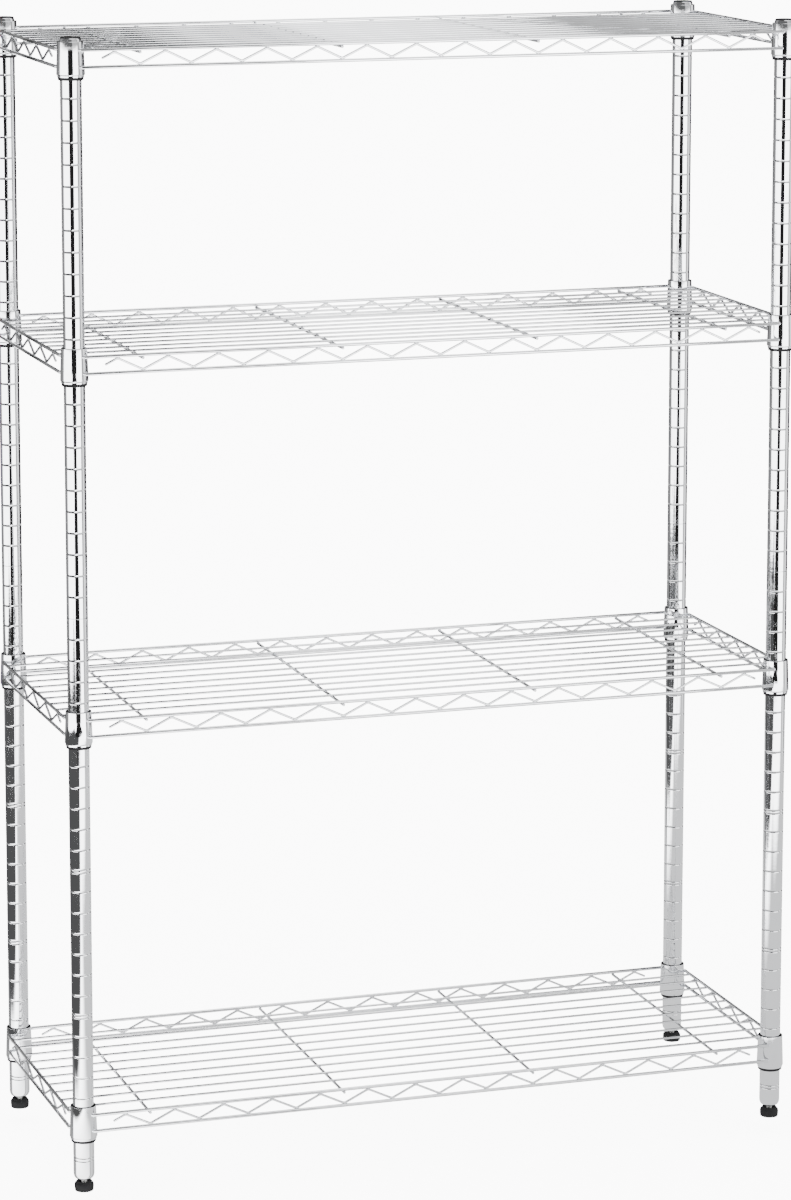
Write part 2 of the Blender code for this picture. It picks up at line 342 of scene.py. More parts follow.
class Effects:
    """The surface effects that several finishes share, each one a node group made once."""

    def __init__(self) -> None:
        """Makes the groups."""
        self.haze = self.make_haze()
        self.ripple = self.make_ripple()
        self.lines = self.make_lines()
        self.dust = self.make_dust()
        self.grain = self.make_grain()

    @staticmethod
    def start(name: str, inputs: dict[str, float | str], outputs: dict[str, str]) -> tuple:
        """Starts a node group.

        Args:
            name: The group's name.
            inputs: Each input's first value, or "Vector" where it is one.
            outputs: Each output's kind.

        Returns:
            Its sheet, its input node and its output node.
        """
        tree = bpy.data.node_groups.new(name, "ShaderNodeTree")
        for key, value in inputs.items():
            kind = "NodeSocketVector" if value == "Vector" else "NodeSocketFloat"
            socket = tree.interface.new_socket(name=key, in_out="INPUT", socket_type=kind)
            if value != "Vector":
                socket.default_value = value
        for key, kind in outputs.items():
            tree.interface.new_socket(name=key, in_out="OUTPUT", socket_type=f"NodeSocket{kind}")
        sheet = NodeSheet(tree)
        return sheet, tree.nodes.new("NodeGroupInput"), tree.nodes.new("NodeGroupOutput")

    def make_haze(self) -> bpy.types.NodeTree:
        """Makes the cloudy film that wiping and handling leave, different on each piece."""
        sheet, given, result = self.start(
            "handling_haze", {"Place": "Vector", "Size": 30.0}, {"Mask": "Float"}
        )
        shift = sheet.maths("MULTIPLY", sheet.add("ObjectInfo").outputs["Random"], 9.0)
        moved = sheet.add("VectorMath", {0: given.outputs["Place"], 1: shift}, operation="ADD")
        size = given.outputs["Size"]
        cloud = sheet.add("TexNoise", {"Vector": moved.outputs[0], "Scale": size, "Detail": 4.0})
        fine_scale = sheet.maths("MULTIPLY", size, 9.0)
        specks = sheet.add("TexNoise", {"Vector": moved.outputs[0], "Scale": fine_scale, "Detail": 2.0})
        broad = sheet.add(
            "MapRange", {0: cloud.outputs[0], 1: 0.42, 2: 0.68}, interpolation_type="SMOOTHSTEP"
        )
        small = sheet.add("MapRange", {0: specks.outputs[0], 1: 0.5, 2: 0.8})
        clouded = sheet.maths("MULTIPLY", broad.outputs[0], 0.75)
        speckled = sheet.maths("MULTIPLY", small.outputs[0], 0.5)
        both = sheet.maths("ADD", clouded, speckled)
        clipped = sheet.maths("MINIMUM", both, 1.0)
        sheet.tree.links.new(clipped, result.inputs["Mask"])
        return sheet.tree

    def make_ripple(self) -> bpy.types.NodeTree:
        """Makes the faint orange-peel waviness of plate or moulded skin."""
        sheet, given, result = self.start(
            "plate_ripple", {"Place": "Vector", "Size": 400.0}, {"Height": "Float"}
        )
        spot, size = given.outputs["Place"], given.outputs["Size"]
        waves = sheet.add("TexNoise", {"Vector": spot, "Scale": size, "Detail": 1.0})
        sheet.tree.links.new(waves.outputs[0], result.inputs["Height"])
        return sheet.tree

    def make_lines(self) -> bpy.types.NodeTree:
        """Makes the fine lines that drawing and polishing leave along a tube or wire."""
        sheet, given, result = self.start(
            "drawn_lines", {"Place": "Vector", "Stretch": "Vector"}, {"Height": "Float", "Mask": "Float"}
        )
        spot, stretch = given.outputs["Place"], given.outputs["Stretch"]
        pulled = sheet.add("VectorMath", {0: spot, 1: stretch}, operation="MULTIPLY")
        noise = {"Vector": pulled.outputs[0], "Scale": 1.0, "Detail": 3.0, "Roughness": 0.6}
        fine = sheet.add("TexNoise", noise)
        scratch = sheet.add("MapRange", {0: fine.outputs[0], 1: 0.6, 2: 0.72})
        sheet.tree.links.new(fine.outputs[0], result.inputs["Height"])
        sheet.tree.links.new(scratch.outputs[0], result.inputs["Mask"])
        return sheet.tree

    def make_dust(self) -> bpy.types.NodeTree:
        """Makes the thin dust that settles on what faces up."""
        sheet, given, result = self.start(
            "settled_dust", {"Place": "Vector", "Amount": 0.2}, {"Mask": "Float"}
        )
        facing = sheet.add("SeparateXYZ", {0: sheet.add("NewGeometry").outputs["Normal"]})
        upward = sheet.add(
            "MapRange", {0: facing.outputs[2], 1: 0.55, 2: 1.0}, interpolation_type="SMOOTHSTEP"
        )
        specks = sheet.add("TexNoise", {"Vector": given.outputs["Place"], "Scale": 700.0, "Detail": 3.0})
        patchy = sheet.add("MapRange", {0: specks.outputs[0], 1: 0.4, 2: 0.7})
        lying = sheet.maths("MULTIPLY", upward.outputs[0], patchy.outputs[0])
        amount = sheet.maths("MULTIPLY", lying, given.outputs["Amount"])
        sheet.tree.links.new(amount, result.inputs["Mask"])
        return sheet.tree

    def make_grain(self) -> bpy.types.NodeTree:
        """Makes the fine spark-eroded grain of a moulding tool."""
        sheet, given, result = self.start(
            "mould_grain", {"Place": "Vector", "Size": 2500.0}, {"Height": "Float", "Mask": "Float"}
        )
        cells = sheet.add("TexVoronoi", {"Vector": given.outputs["Place"], "Scale": given.outputs["Size"]})
        flow = sheet.add("TexNoise", {"Vector": given.outputs["Place"], "Scale": 55.0, "Detail": 3.0})
        sheet.tree.links.new(cells.outputs["Distance"], result.inputs["Height"])
        sheet.tree.links.new(flow.outputs[0], result.inputs["Mask"])
        return sheet.tree

    @staticmethod
    def placed(sheet: NodeSheet, group: bpy.types.NodeTree, values: dict) -> bpy.types.Node:
        """Adds a group node, which needs its tree before its sockets exist."""
        node = sheet.tree.nodes.new("ShaderNodeGroup")
        node.node_tree = group
        for key, value in values.items():
            if isinstance(value, bpy.types.NodeSocket):
                sheet.tree.links.new(value, node.inputs[key])
            else:
                node.inputs[key].default_value = value
        return node


def start_material(name: str) -> tuple[bpy.types.Material, NodeSheet, bpy.types.Node, bpy.types.NodeSocket]:
    """Starts a node material and returns it, its sheet, its Principled shader and its object coordinates."""
    material = bpy.data.materials.new(name)
    material.use_nodes = True
    sheet = NodeSheet(material.node_tree)
    shader = material.node_tree.nodes["Principled BSDF"]
    place_on = sheet.add("TexCoord").outputs["Object"]
    return material, sheet, shader, place_on


@dataclass(frozen=True)
class ChromeFinish:
    """Bright chrome plate: mirror metal under a faint haze, with drawn lines and duller welds."""

    name: str
    colour: Colour = (0.80, 0.81, 0.83)
    hazed: Colour = (0.70, 0.71, 0.74)
    clear: float = 0.035
    cloudy: float = 0.16
    haze_size: float = 30.0
    stretch: tuple[float, float, float] = (900.0, 900.0, 14.0)
    line_depth: float = 0.000004
    ripple_depth: float = 0.00003
    dust: float = 0.12

    def make(self, effects: Effects) -> bpy.types.Material:
        """Returns the finish as a material."""
        material, sheet, shader, spot = start_material(self.name)
        haze = effects.placed(sheet, effects.haze, {"Place": spot, "Size": self.haze_size}).outputs["Mask"]
        lines = effects.placed(sheet, effects.lines, {"Place": spot, "Stretch": self.stretch})
        ripple = effects.placed(sheet, effects.ripple, {"Place": spot, "Size": 260.0}).outputs["Height"]
        dust = effects.placed(sheet, effects.dust, {"Place": spot, "Amount": self.dust}).outputs["Mask"]
        weld = sheet.add("Attribute", attribute_name="weld").outputs["Fac"]
        soiled = sheet.maths("MULTIPLY", haze, 0.35)
        dulled = sheet.maths("MAXIMUM", soiled, sheet.maths("MULTIPLY", weld, 0.8))
        sheet.tree.links.new(sheet.blend(dulled, self.colour, self.hazed), shader.inputs["Base Color"])
        filmed = sheet.maths("MULTIPLY", haze, 0.6)
        scratched = sheet.maths("MULTIPLY", lines.outputs["Mask"], 0.25)
        worn = sheet.maths("ADD", filmed, scratched)
        rough = sheet.maths("ADD", worn, sheet.maths("ADD", sheet.maths("MULTIPLY", weld, 0.9), dust))
        sheet.tree.links.new(sheet.span(rough, self.clear, self.cloudy), shader.inputs["Roughness"])
        drawn = sheet.add(
            "Bump", {"Height": lines.outputs["Height"], "Strength": 0.35, "Distance": self.line_depth}
        )
        waved = sheet.add(
            "Bump",
            {"Height": ripple, "Strength": 0.5, "Distance": self.ripple_depth, "Normal": drawn.outputs[0]},
        )
        sheet.tree.links.new(waved.outputs[0], shader.inputs["Normal"])
        shader.inputs["Metallic"].default_value = 1.0
        return material


@dataclass(frozen=True)
class PlasticFinish:
    """Black moulded plastic with a fine grain, a little flow mottle and dust where it faces up."""

    name: str
    colour: Colour = (0.005, 0.005, 0.0054)
    flow: Colour = (0.010, 0.010, 0.0108)
    smooth: float = 0.3
    matte: float = 0.5
    specular: float = 0.08
    grain_size: float = 2500.0
    grain_depth: float = 0.00002
    dust: float = 0.25

    def make(self, effects: Effects) -> bpy.types.Material:
        """Returns the finish as a material."""
        material, sheet, shader, spot = start_material(self.name)
        grain = effects.placed(sheet, effects.grain, {"Place": spot, "Size": self.grain_size})
        haze = effects.placed(sheet, effects.haze, {"Place": spot, "Size": 90.0}).outputs["Mask"]
        dust = effects.placed(sheet, effects.dust, {"Place": spot, "Amount": self.dust}).outputs["Mask"]
        mottle = sheet.maths("ADD", sheet.maths("MULTIPLY", grain.outputs["Mask"], 0.8), dust)
        sheet.tree.links.new(sheet.blend(mottle, self.colour, self.flow), shader.inputs["Base Color"])
        handled = sheet.maths("ADD", sheet.maths("MULTIPLY", haze, 0.7), dust)
        sheet.tree.links.new(sheet.span(handled, self.matte, self.smooth), shader.inputs["Roughness"])
        bump = sheet.add(
            "Bump", {"Height": grain.outputs["Height"], "Strength": 0.5, "Distance": self.grain_depth}
        )
        sheet.tree.links.new(bump.outputs[0], shader.inputs["Normal"])
        shader.inputs["Specular IOR Level"].default_value = self.specular
        return material


@dataclass(frozen=True)
class ZincFinish:
    """Zinc-plated thread: pale metal that has dulled in patches."""

    name: str
    colour: Colour = (0.72, 0.72, 0.70)
    dull: Colour = (0.42, 0.42, 0.41)
    bright: float = 0.2
    matte: float = 0.45
    ripple_depth: float = 0.00004

    def make(self, effects: Effects) -> bpy.types.Material:
        """Returns the finish as a material."""
        material, sheet, shader, spot = start_material(self.name)
        haze = effects.placed(sheet, effects.haze, {"Place": spot, "Size": 120.0}).outputs["Mask"]
        ripple = effects.placed(sheet, effects.ripple, {"Place": spot, "Size": 900.0}).outputs["Height"]
        sheet.tree.links.new(sheet.blend(haze, self.colour, self.dull), shader.inputs["Base Color"])
        sheet.tree.links.new(sheet.span(haze, self.bright, self.matte), shader.inputs["Roughness"])
        bump = sheet.add("Bump", {"Height": ripple, "Strength": 0.5, "Distance": self.ripple_depth})
        sheet.tree.links.new(bump.outputs[0], shader.inputs["Normal"])
        shader.inputs["Metallic"].default_value = 1.0
        return material


@dataclass(frozen=True)
class Palette:
    """The materials of the rack, each made once."""

    tube: bpy.types.Material
    collar: bpy.types.Material
    wire: bpy.types.Material
    sleeve: bpy.types.Material
    rubber: bpy.types.Material
    zinc: bpy.types.Material

    @classmethod
    def mixed(cls) -> "Palette":
        """Makes every material."""
        effects = Effects()
        return cls(
            tube=ChromeFinish("tube_chrome").make(effects),
            collar=ChromeFinish(
                "collar_chrome", cloudy=0.2, haze_size=45.0, ripple_depth=0.00005
            ).make(effects),
            wire=ChromeFinish(
                "wire_chrome", stretch=(30.0, 30.0, 30.0), haze_size=18.0, cloudy=0.22, ripple_depth=0.00004
            ).make(effects),
            sleeve=PlasticFinish("sleeve_plastic").make(effects),
            rubber=PlasticFinish(
                "foot_plastic", smooth=0.42, matte=0.62, grain_size=1600.0, grain_depth=0.00005
            ).make(effects),
            zinc=ZincFinish("stud_zinc").make(effects),
        )


@dataclass
class Posts:
    """The four posts: lower and upper tubes with a rolled groove every inch, and end caps."""

    palette: Palette
    groove_pitch: float = INCH
    groove_below_collar: float = 14.5 * MM
    groove_depth: float = 0.42 * MM
    groove_half: float = 1.1 * MM
    groove_land: float = 0.5 * MM
    pair_rows: tuple[int, ...] = (0, 7, 14)
    pair_gap: float = 3.8 * MM
    spare_rows: int = 60
    bore: float = 11.4 * MM
    edge: float = 0.25 * MM
    spigot_radius: float = 10.9 * MM
    spigot_length: float = 14.0 * MM
    spigot_closure: float = 3.0 * MM
    roll_height: float = 7.5 * MM
    roll_radius: float = 9.0 * MM
    roll_steps: int = 6
    mouth_radius: float = 12.2 * MM
    mouth_inner: float = 9.5 * MM
    mouth_taper: float = 1.6 * MM
    insert_hole: float = 4.3 * MM

    def radius(self) -> float:
        """Returns the tube's outer radius."""
        low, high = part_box("post_lower_fl")
        return (high.x - low.x) / 2

    def grooves(self, low: float, high: float) -> Iterator[float]:
        """Yields the height of each groove between two heights, twice over where a pair is rolled.

        Args:
            low: The lowest height that a groove may have.
            high: The highest.

        Yields:
            The middle height of each groove, upwards.
        """
        margin = self.groove_half + self.groove_land
        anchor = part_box("shelf_frame_4")[1].z - self.groove_below_collar
        first = math.ceil((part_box("post_lower_fl")[0].z + self.roll_height - anchor) / self.groove_pitch)
        for row in range(round((high - low) / self.groove_pitch) + self.spare_rows):
            height = anchor + (first + row) * self.groove_pitch
            paired = row in self.pair_rows
            for shift in (-self.pair_gap / 2, self.pair_gap / 2) if paired else (0.0,):
                if low + margin < height + shift < high - margin:
                    yield height + shift

    def grooved_wall(self, low: float, high: float, base: float = 0.0) -> list[Spot]:
        """Reads the tube's outer wall, with its grooves.

        Args:
            low: Where the wall starts.
            high: Where it ends.
            base: The height that low has on the tube's own outline.

        Returns:
            The wall's points upwards, as (radius, height).
        """
        radius = self.radius()
        wall = []
        for height in self.grooves(low, high):
            start = height - low + base
            wall.append((radius, start - self.groove_half - self.groove_land))
            for share in (-1.0, -0.5, 0.0, 0.5, 1.0):
                depth = self.groove_depth * (0.5 + 0.5 * math.cos(math.pi * share))
                wall.append((radius - depth, start + share * self.groove_half))
            wall.append((radius, start + self.groove_half + self.groove_land))
        return wall

    def lower_mesh(self) -> bpy.types.Mesh:
        """Builds the lower tube, whose foot end is rolled in round the stud's insert."""
        low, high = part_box("post_lower_fl")
        length = high.z - low.z
        radius = self.radius()
        section = [(self.insert_hole, 0.6 * MM), (self.roll_radius - 0.6 * MM, 0.6 * MM)]
        for step in range(self.roll_steps + 1):
            share = math.pi / 2 * step / self.roll_steps
            reach = self.roll_radius + (radius - self.roll_radius) * math.sin(share)
            section.append((reach, self.roll_height * (1 - math.cos(share))))
        section += self.grooved_wall(low.z + self.roll_height, high.z, self.roll_height)
        section += [(radius, length - self.edge), (radius - self.edge, length), (self.bore, length)]
        section += [(self.bore, 9 * MM), (self.insert_hole, 6 * MM)]
        shape = Shape()
        shape.turn(section)
        return shape.finish("lower_tube", self.palette.tube, sharp=30.0)

    def upper_mesh(self) -> bpy.types.Mesh:
        """Builds the upper tube, with the spigot that joins it to the lower one and its tapered mouth."""
        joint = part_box("post_lower_fl")[1].z + 0.3 * MM
        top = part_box("post_upper_fl")[1].z
        length = top - joint
        radius = self.radius()
        section = [(0.0, -self.spigot_length), (self.spigot_radius - self.edge, -self.spigot_length)]
        section += [(self.spigot_radius, -self.spigot_length + self.edge), (self.spigot_radius, 0.0)]
        section += [(radius - self.edge, 0.0), (radius, self.edge)]
        section += self.grooved_wall(joint, top - self.mouth_taper)
        section += [(radius, length - self.mouth_taper - self.edge)]
        section += [(radius - 0.15 * MM, length - self.mouth_taper + self.edge)]
        section += [(self.mouth_radius, length - self.edge), (self.mouth_radius - self.edge, length)]
        section += [(self.mouth_inner, length), (self.bore, length - 4.5 * MM)]
        section += [(self.bore, self.spigot_closure), (0.0, self.spigot_closure)]
        shape = Shape()
        shape.turn(section)
        return shape.finish("upper_tube", self.palette.tube, sharp=30.0)

    def cap_mesh(self) -> bpy.types.Mesh:
        """Builds the plug cap: a low dome with a gate dimple, over a tapered plug with ribs."""
        outline = [(0, 0.75), (1.3, 0.75), (1.7, 1.05), (9.4, 1.1), (11.0, 1.0), (11.7, 0.75), (12.0, 0.4)]
        outline += [(12.0, 0.05), (11.8, 0), (9.1, 0)]
        for rib in range(4):
            start = -2.2 - 2.4 * rib
            outline += [(8.9, start + 0.6), (9.1, start), (8.7, start - 0.5)]
        outline += [(8.2, -12), (0, -12)]
        shape = Shape()
        shape.turn(scaled(outline))
        return shape.finish("end_cap", self.palette.sleeve)

    def build(self) -> None:
        """Builds the tubes and caps of all four posts."""
        lower, upper, cap = self.lower_mesh(), self.upper_mesh(), self.cap_mesh()
        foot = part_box("post_lower_fl")[0].z
        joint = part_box("post_lower_fl")[1].z + 0.3 * MM
        cap_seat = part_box("post_upper_fl")[1].z + 0.3 * MM
        for corner in Corner:
            axis = corner.axis()
            name = corner.value
            foot_spot = axis + Vector((0, 0, foot))
            joint_spot = axis + Vector((0, 0, joint))
            cap_spot = axis + Vector((0, 0, cap_seat))
            place(f"lower_tube_{name}", lower, foot_spot, "posts", [f"post_lower_{name}"], "chrome")
            place(f"upper_tube_{name}", upper, joint_spot, "posts", [f"post_upper_{name}"], "chrome")
            place(f"end_cap_{name}", cap, cap_spot, "posts", [f"post_cap_{name}"], "black_plastic")


@dataclass
class Feet:
    """The levelling feet: a domed black pad with a dip round its threaded stud."""

    palette: Palette
    stud_radius: float = 3.98 * MM
    thread_depth: float = 0.62 * MM
    thread_pitch: float = 1.25 * MM
    rows_per_turn: int = 6
    stud_sides: int = 20

    def pad_mesh(self) -> bpy.types.Mesh:
        """Builds the pad, a squat bell with eight slight flats to turn it by."""
        outline = [(0, 0.5), (8.4, 0.5), (9.0, 0), (10.2, 0), (10.9, 0.25), (11.3, 0.9), (11.5, 2.4)]
        outline += [(11.7, 4.4), (11.8, 6.4)]
        outline += arc((8.2, 7.6), 3.55, 0.0, 62.0, 5)
        outline += arc((8.2, 9.75), 2.6, 62.0, 118.0, 4)
        outline += [(5.9, 11.4), (5.1, 9.6), (4.4, 8.8), (4.4, 8.2), (0, 8.2)]
        shape = Shape()
        shape.turn(scaled(outline), worked=self.flats)
        return shape.finish("foot_pad_shell", self.palette.rubber)

    @staticmethod
    def flats(radius: float, height: float, degrees: float) -> float:
        """Returns a pad point's radius, eased in a little at the middle of each flat."""
        eased = 0.5 + 0.5 * math.cos(math.radians(8 * degrees))
        share = min(max(height / (9 * MM), 0.0), 1.0) * (radius / (11.8 * MM)) ** 2
        return radius - 0.22 * MM * eased * share

    def thread(self, radius: float, height: float, degrees: float) -> float:
        """Returns a stud point's radius, cut by the thread's helix."""
        turns = height / self.thread_pitch - degrees / 360.0
        cut = self.thread_depth * (0.5 - 0.5 * math.cos(math.tau * turns))
        return radius - cut if radius == self.stud_radius else radius

    def stud_mesh(self) -> bpy.types.Mesh:
        """Builds the threaded stud."""
        low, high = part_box("foot_stud_fl")
        length = high.z - low.z
        rows = round(length / self.thread_pitch * self.rows_per_turn)
        section = [(0.0, 0.0), (self.stud_radius - self.thread_depth, 0.0)]
        for row in range(1, rows):
            section.append((self.stud_radius, length * row / rows))
        section += [(self.stud_radius - self.thread_depth, length), (0.0, length)]
        shape = Shape()
        shape.turn(section, sides=self.stud_sides, worked=self.thread)
        return shape.finish("stud", self.palette.zinc, sharp=70.0)

    def build(self) -> None:
        """Builds the four feet."""
        pad, stud = self.pad_mesh(), self.stud_mesh()
        for corner in Corner:
            axis = corner.axis()
            name = corner.value
            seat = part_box(f"foot_stud_{name}")[0].z
            place(f"pad_{name}", pad, axis, f"foot_{name}", [f"foot_pad_{name}"], "black_plastic")
            spot = axis + Vector((0, 0, seat))
            place(f"stud_{name}", stud, spot, f"foot_{name}", [f"foot_stud_{name}"], "stud_steel")


@dataclass
class Sleeves:
    """The split sleeves: two tapered halves round the post inside each collar."""

    palette: Palette
    seam: float = 0.9
    steps: int = 24
    window_turn: float = 17.0
    window_low: float = 25.5 * MM
    window_high: float = 12.0 * MM
    window_depth: float = 0.45 * MM
    window_outside: float = 13.6 * MM

    def window(self, radius: float, height: float, degrees: float) -> float:
        """Returns a sleeve point's radius, sunk where the sight window is."""
        inside = abs(degrees - 270.0) < self.window_turn
        level = -self.window_low < height < -self.window_high
        outer = radius > self.window_outside
        return radius - self.window_depth if inside and level and outer else radius

    def mesh(self) -> bpy.types.Mesh:
        """Builds the front half, with its origin on the post's axis at the collar's top."""
        outline = [(13.0, -0.5), (13.0, -13.6), (12.75, -14.1), (12.75, -14.9), (13.0, -15.4)]
        outline += [(13.0, -44.3)]
        outline += [(13.2, -44.6), (14.2, -44.6), (14.65, -44.4), (14.9, -43.9), (14.95, -43.0), (15.25, -41.4)]
        outline += [(15.33, -38.5), (14.75, -25.6), (14.74, -25.4), (14.35, -12.1), (14.34, -11.9)]
        outline += [(14.15, -0.6), (13.95, -0.25), (13.3, -0.2)]
        shape = Shape()
        shape.turn(scaled(outline), self.steps, 180.0 + self.seam, 180.0 - 2 * self.seam, self.window)
        return shape.finish("sleeve_half", self.palette.sleeve, sharp=35.0)

    def build(self) -> None:
        """Builds both halves at every corner of every shelf."""
        mesh = self.mesh()
        for shelf in SHELVES:
            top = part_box(f"shelf_frame_{shelf}")[1].z
            for corner in Corner:
                for half in Half:
                    tail = f"{shelf}_{corner.value}_{half.name.lower()}"
                    spot = corner.axis() + Vector((0, 0, top))
                    node = [f"clip_{tail}"]
                    place(f"sleeve_{tail}", mesh, spot, "posts", node, "black_plastic", half.value)


@dataclass
class Truss:
    """One side of a shelf: two rim wires, the zigzag wire between them and the welds."""

    palette: Palette
    half_length: float
    offset: float
    apexes: int
    crossed: tuple[float, ...] = ()
    rim_radius: float = 2.1 * MM
    rim_offset: float = 14.7 * MM
    rim_top: float = 9.5 * MM
    rim_bottom: float = 29.5 * MM
    top_end: float = 7.2 * MM
    bottom_end: float = 8.2 * MM
    zigzag_radius: float = 1.5 * MM
    zigzag_pitch: float = 2.4 * INCH
    zigzag_inset: float = 2.75 * MM
    bend_radius: float = 5.0 * MM

    def zigzag_path(self) -> list[Vector]:
        """Returns the zigzag's centreline, with a round bend at each apex."""
        high = -self.rim_top - self.zigzag_inset
        low = -self.rim_bottom + self.zigzag_inset
        half = self.zigzag_pitch / 2
        slope = math.degrees(math.atan2(high - low, half))
        lift = self.bend_radius / math.cos(math.radians(slope))
        first = -(self.apexes - 1) * half
        path = [(first - half / 2, (high + low) / 2)]
        for index in range(2 * self.apexes - 1):
            along = first + index * half
            if index % 2 == 0:
                path += arc((along, high - lift), self.bend_radius, 90 + slope, 90 - slope, 4)
            else:
                path += arc((along, low + lift), self.bend_radius, 270 - slope, 270 + slope, 4)
        path.append((-first + half / 2, (high + low) / 2))
        return [Vector((along, -self.reach(), height)) for along, height in path]

    def reach(self) -> float:
        """Returns how far this side's wires lie from the middle of the shelf."""
        return self.offset + self.rim_offset

    def mesh(self, name: str) -> bpy.types.Mesh:
        """Builds the side as a front side, with its origin in the shelf's middle at the collars' top."""
        shape = Shape()
        outward = Vector((0, -1, 0))
        for depth, end in ((self.rim_top, self.top_end), (self.rim_bottom, self.bottom_end)):
            length = self.half_length - end
            rim = [Vector((-length, -self.reach(), -depth)), Vector((length, -self.reach(), -depth))]
            shape.wire(rim, self.rim_radius, outward)
            for sign in (-1, 1):
                weld = Vector((sign * (length - 1.6 * MM), -self.reach() + 1.3 * MM, -depth))
                shape.bead(weld, Vector((3.4, 1.5, 2.5)) * MM)
        shape.wire(self.zigzag_path(), self.zigzag_radius, outward)
        half = self.zigzag_pitch / 2
        for index in range(2 * self.apexes - 1):
            along = half * (index - self.apexes + 1)
            height = -self.rim_top - self.rim_radius if index % 2 == 0 else -self.rim_bottom + self.rim_radius
            shape.bead(Vector((along, -self.reach(), height)), Vector((3.0, 1.25, 0.8)) * MM)
        for along in self.crossed:
            spot = Vector((along, -self.reach() + 0.4 * MM, -self.rim_top - self.rim_radius))
            shape.bead(spot, Vector((1.9, 1.9, 0.7)) * MM)
        return shape.finish(name, self.palette.wire, sharp=60.0)


@dataclass
class Deck:
    """The deck of a shelf: long wires on cross wires, welded at every crossing."""

    palette: Palette
    wires: int = 10
    spacing: float = 31.1 * MM
    deck_radius: float = 1.5 * MM
    deck_depth: float = 10.35 * MM
    cross_radius: float = 1.8 * MM
    cross_depth: float = 13.2 * MM

    def mesh(self, cross_places: Sequence[float]) -> bpy.types.Mesh:
        """Builds the deck with its origin in the shelf's middle at the collars' top.

        Args:
            cross_places: Where the cross wires lie along the shelf.

        Returns:
            The mesh.
        """
        low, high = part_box("shelf_deck_1")
        shape = Shape()
        up = Vector((0, 0, 1))
        deck_half = high.x
        cross_half = high.y
        places = [(index - (self.wires - 1) / 2) * self.spacing for index in range(self.wires)]
        for y in places:
            ends = [Vector((-deck_half, y, -self.deck_depth)), Vector((deck_half, y, -self.deck_depth))]
            shape.wire(ends, self.deck_radius, up, bulge=0.3)
            for sign in (-1, 1):
                tip = Vector((sign * (deck_half - 0.3 * MM), y, -self.deck_depth))
                shape.bead(tip, Vector((1.1, 1.9, 1.6)) * MM)
            for x in cross_places:
                contact = -self.deck_depth - self.deck_radius + 0.1 * MM
                shape.bead(Vector((x, y, contact)), Vector((2.2, 2.0, 0.7)) * MM)
        for x in cross_places:
            ends = [Vector((x, -cross_half, -self.cross_depth)), Vector((x, cross_half, -self.cross_depth))]
            shape.wire(ends, self.cross_radius, up)
        return shape.finish("deck_wires", self.palette.wire, sharp=60.0)


@dataclass
class Shelves:
    """The four shelves, each of four collars, four trussed sides and a wire deck."""

    palette: Palette
    long_apexes: int = 14
    short_apexes: int = 5
    cross_steps: tuple[int, ...] = (-6, -2, 2, 6)

    def collar_mesh(self) -> bpy.types.Mesh:
        """Builds the tapered collar, turned in at its foot, with its origin on its axis at its top."""
        outline = arc((14.95, -0.45), 0.45, 90.0, 0.0, 4)
        outline += arc((14.5, -37.4), 2.2, -3.0, -60.0, 6)
        outline += arc((15.5, -40.62), 0.38, -60.0, -180.0, 4)
        outline += [(15.5 - 0.38, -39.6), (15.45, -37.2), (14.5, -0.5), (14.62, -0.1)]
        shape = Shape()
        shape.turn(scaled(outline))
        return shape.finish("collar", self.palette.collar, sharp=50.0)

    def build(self) -> None:
        """Builds every collar, side and deck."""
        post = Corner.BACK_RIGHT.axis()
        crossings = tuple(steps * Truss.zigzag_pitch for steps in self.cross_steps)
        collar = self.collar_mesh()
        long_side = Truss(self.palette, post.x, post.y, self.long_apexes, crossings).mesh("long_side")
        short_side = Truss(self.palette, post.y, post.x, self.short_apexes).mesh("short_side")
        deck = Deck(self.palette).mesh(crossings)
        for shelf in SHELVES:
            body = f"shelf_{shelf}"
            node = [f"shelf_frame_{shelf}"]
            middle = Vector((0, 0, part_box(node[0])[1].z))
            for corner in Corner:
                place(f"collar_{shelf}_{corner.value}", collar, corner.axis() + middle, body, node, "chrome")
            for side in Side:
                mesh = long_side if side in (Side.FRONT, Side.BACK) else short_side
                place(f"truss_{shelf}_{side.name.lower()}", mesh, middle, body, node, "chrome", side.value)
            place(f"deck_{shelf}", deck, middle, body, [f"shelf_deck_{shelf}"], "chrome")


@dataclass
class Camera:
    """The camera, at eye height well back from the rack's front left."""

    place: Spot = (-1.674, -5.0798)
    height: float = 1.7787
    turn: float = 18.269
    dip: float = 9.582
    lens: float = 132.06
    shift: float = -0.143

    def build(self) -> None:
        """Makes the camera and hands it to the scene."""
        data = bpy.data.cameras.new("camera")
        data.lens = self.lens
        data.shift_y = self.shift
        data.clip_end = 200.0
        camera = bpy.data.objects.new("camera", data)
        bpy.context.scene.collection.objects.link(camera)
        camera.location = (*self.place, self.height)
        camera.rotation_euler = (math.radians(90.0 - self.dip), 0.0, math.radians(-self.turn))
        bpy.context.scene.camera = camera


